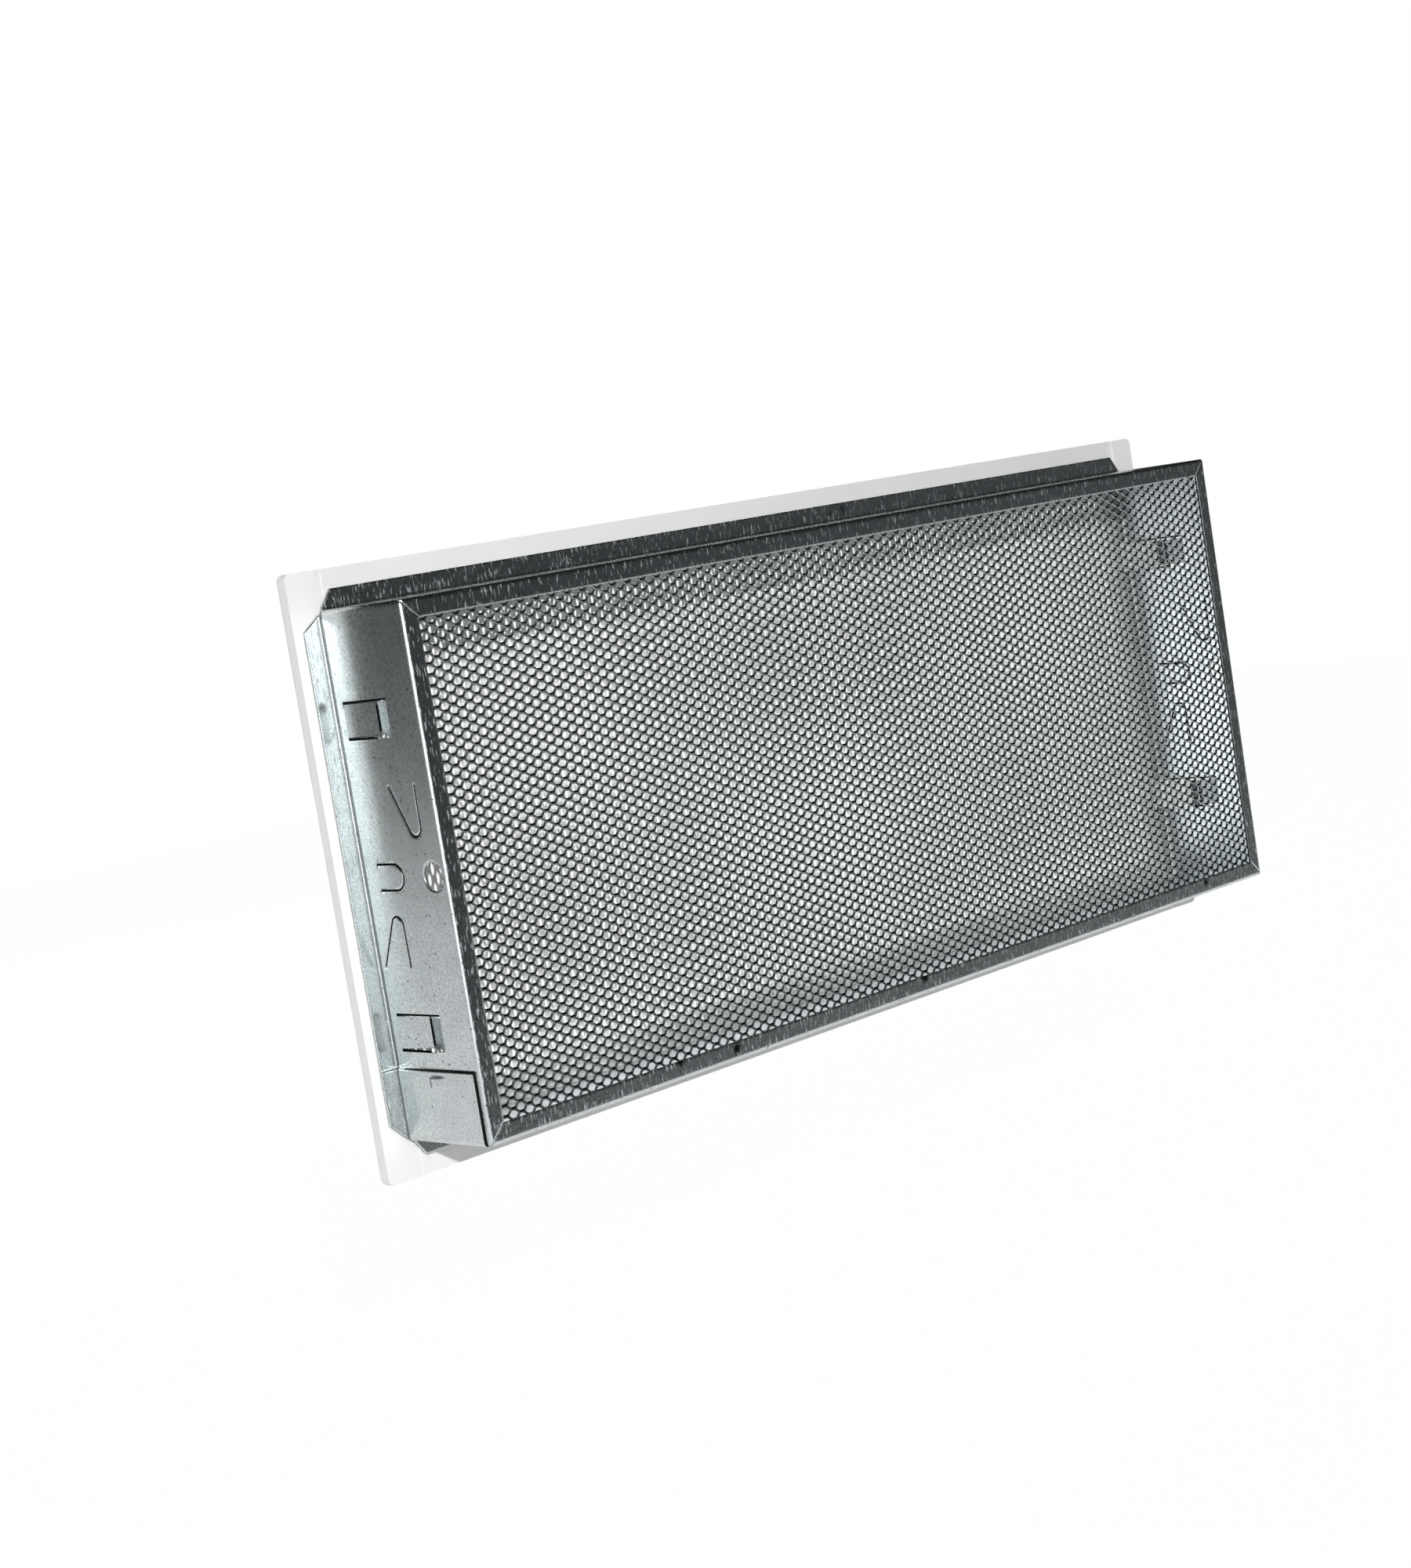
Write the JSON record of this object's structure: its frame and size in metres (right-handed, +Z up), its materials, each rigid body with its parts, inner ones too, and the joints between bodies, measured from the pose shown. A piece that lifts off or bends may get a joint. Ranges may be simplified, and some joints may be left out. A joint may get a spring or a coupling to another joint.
{
  "type": "ventilation grille",
  "caption": "Rectangular push-in ventilation grille: a galvanised wall sleeve with an expanded metal back, and a white front panel with an expanded metal face.",
  "frame": {"origin": "centre of the wall opening, on the plane of the wall's face, which the back of the sleeve's flange touches", "axes": "+X along the width, +Y into the wall, away from the room, +Z up"},
  "size_m": [0.372, 0.0412, 0.169],
  "materials": {
    "galvanised_sheet": "bright galvanised, smooth with a fine grain",
    "galvanised_mesh": "galvanised, satin",
    "white_coat": "white powder coat, satin",
    "white_mesh": "white powder coat, satin"
  },
  "bodies": {
    "sleeve": {"mounting_sleeve": "galvanised_sheet", "back_mesh": "galvanised_mesh"},
    "front_panel": {"front_frame": "white_coat", "front_mesh": "white_mesh", "clip_leg_upper_right": "white_coat", "clip_leg_upper_left": "white_coat", "clip_leg_lower_right": "white_coat", "clip_leg_lower_left": "white_coat"}
  },
  "joints": [
    {"name": "panel_pull", "type": "slide", "parent": "sleeve", "child": "front_panel", "axis": [0, -1, 0], "range_m": [0, 0.04]}
  ]
}
